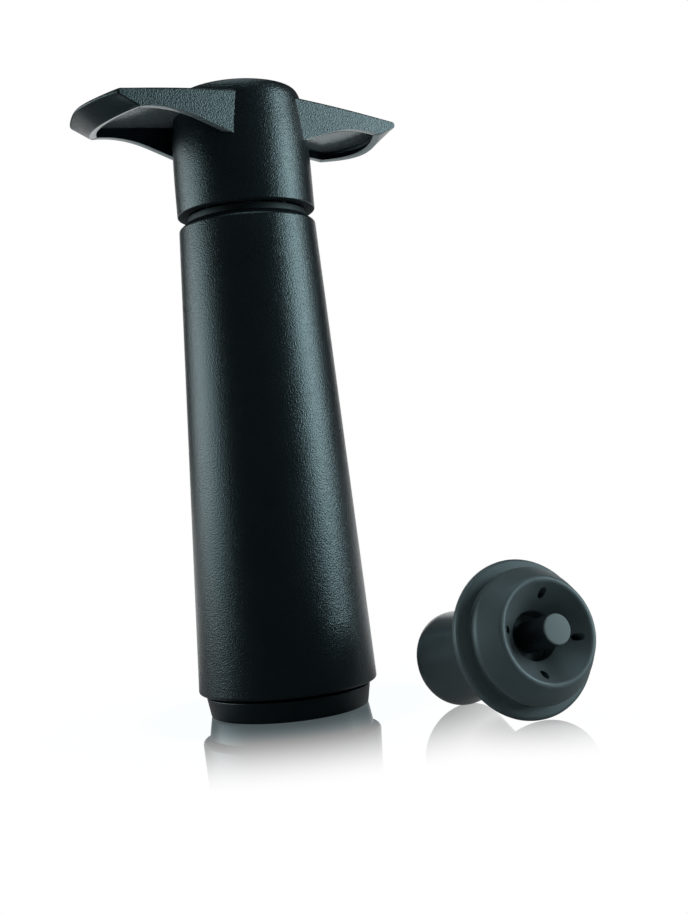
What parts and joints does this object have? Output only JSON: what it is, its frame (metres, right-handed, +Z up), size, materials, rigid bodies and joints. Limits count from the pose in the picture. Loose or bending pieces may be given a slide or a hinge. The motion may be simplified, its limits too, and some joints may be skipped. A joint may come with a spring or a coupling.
{
  "type": "wine vacuum pump",
  "caption": "Hand vacuum pump for wine bottles: tapered grip sleeve, sliding piston with a winged turning handle, and a rubber bottle stopper lying beside it.",
  "frame": {"origin": "centre of the socket's mouth in the face of the base ring that the pump stands on", "axes": "+Z up along the pump's axis, X along the handle's two wings, -Y towards the stopper that lies beside the pump"},
  "size_m": [0.0878, 0.1004, 0.1566],
  "materials": {
    "textured_plastic": "fine spark texture, satin black",
    "smooth_plastic": "smooth black, satin",
    "grey_plastic": "smooth moulded grey",
    "black_rubber": "soft matt black",
    "slate_rubber": "satin moulded slate grey",
    "steel": "bright drawn wire"
  },
  "bodies": {
    "barrel": {"grip_sleeve": "textured_plastic", "base_socket": "smooth_plastic", "socket_seal": "black_rubber", "tube_seal_ring": "black_rubber", "cylinder_tube": "grey_plastic", "cylinder_cap": "smooth_plastic", "rod_bush": "grey_plastic", "rod_wiper": "black_rubber", "top_buffer": "black_rubber"},
    "piston": {"piston_head": "grey_plastic", "piston_seal": "black_rubber", "guide_ring": "grey_plastic", "valve_cage": "grey_plastic", "swivel_retainer": "grey_plastic", "valve_spring": "steel"},
    "exhaust_valve": {"valve_disc": "black_rubber"},
    "handle": {"handle_shell": "textured_plastic", "piston_rod": "grey_plastic", "rod_end_plug": "grey_plastic", "cross_pin": "steel"},
    "stopper": {"stopper_body": "slate_rubber"},
    "release_knob": {"stopper_knob": "slate_rubber"}
  },
  "joints": [
    {"name": "pump_stroke", "type": "slide", "parent": "barrel", "child": "piston", "axis": [0, 0, 1], "range_m": [0, 0.08]},
    {"name": "handle_turn", "type": "hinge", "parent": "piston", "child": "handle", "pos_m": [0, 0, 0.12595], "axis": [0, 0, 1], "continuous": true},
    {"name": "valve_lift", "type": "slide", "parent": "piston", "child": "exhaust_valve", "axis": [0, 0, 1], "range_m": [0, 0.0012], "stiffness_N_per_m": 60, "springref_m": -0.001, "deforming": ["valve_spring"]},
    {"name": "stopper_lift", "type": "slide", "parent": "barrel", "child": "stopper", "axis": [0, 0, 1], "range_m": [0, 0.06]},
    {"name": "knob_tip", "type": "hinge", "parent": "stopper", "child": "release_knob", "pos_m": [0.02185, -0.06406, 0.01724], "axis": [0.9882, -0.153, 0], "range_deg": [-10, 10], "stiffness_Nm_per_rad": 0.02}
  ]
}
